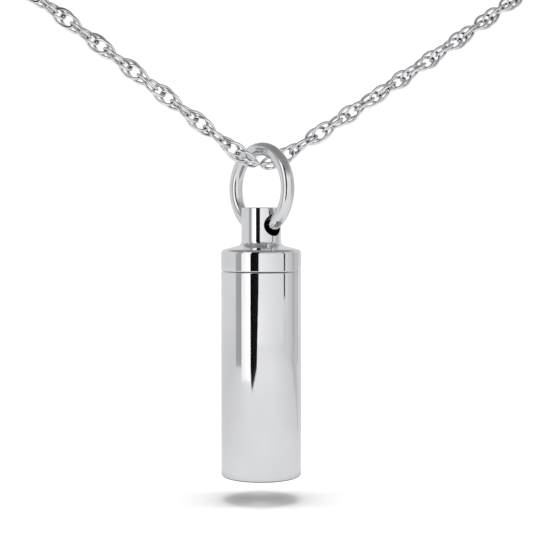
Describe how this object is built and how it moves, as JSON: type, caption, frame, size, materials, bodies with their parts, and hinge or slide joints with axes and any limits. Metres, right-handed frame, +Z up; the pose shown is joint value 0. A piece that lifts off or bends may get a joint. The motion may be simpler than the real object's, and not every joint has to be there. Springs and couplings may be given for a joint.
{
  "type": "keepsake urn pendant on a necklace chain",
  "caption": "Polished cylinder urn pendant with a screw cap, hanging by a round bail ring from a closed twisted-link neck chain.",
  "frame": {"origin": "the nape, at the middle of the clasp, where the worn chain hangs on the neck", "axes": "+Z up, the pendant hangs at the front at -Y, +X to the right as seen by someone facing the pendant"},
  "size_m": [0.1244, 0.1254, 0.1485],
  "materials": {
    "polished_silver": "mirror polished silver",
    "ring_silver": "polished silver wire",
    "chain_silver": "tumbled silver wire",
    "thread_silver": "turned silver"
  },
  "bodies": {
    "chain": {"chain": "chain_silver", "clasp": "ring_silver", "end_ring": "ring_silver"},
    "bail_ring": {"bail_ring": "ring_silver"},
    "cap": {"cap": "polished_silver"},
    "thread_stud": {"thread_stud": "thread_silver"},
    "urn": {"urn": "polished_silver"}
  },
  "joints": [
    {"name": "ring_swing", "type": "hinge", "parent": "chain", "child": "bail_ring", "pos_m": [0, -0.1204, -0.12093], "axis": [1, 0, 0], "range_deg": [-60, 60]},
    {"name": "pendant_swing", "type": "hinge", "parent": "bail_ring", "child": "cap", "pos_m": [0, -0.1204, -0.12574], "axis": [0.4848, -0.8746, 0], "range_deg": [-90, 90]},
    {"name": "unscrew_turn", "type": "hinge", "parent": "cap", "child": "thread_stud", "pos_m": [0, -0.1204, -0.1294], "axis": [0, 0, -1], "range_deg": [0, 1800]},
    {"name": "unscrew_travel", "type": "slide", "parent": "thread_stud", "child": "urn", "axis": [0, 0, -1], "range_m": [0, 0.00175]}
  ],
  "couplings": [
    {"joint": "unscrew_turn", "follows": "unscrew_travel", "rad_per_m": 17950}
  ]
}
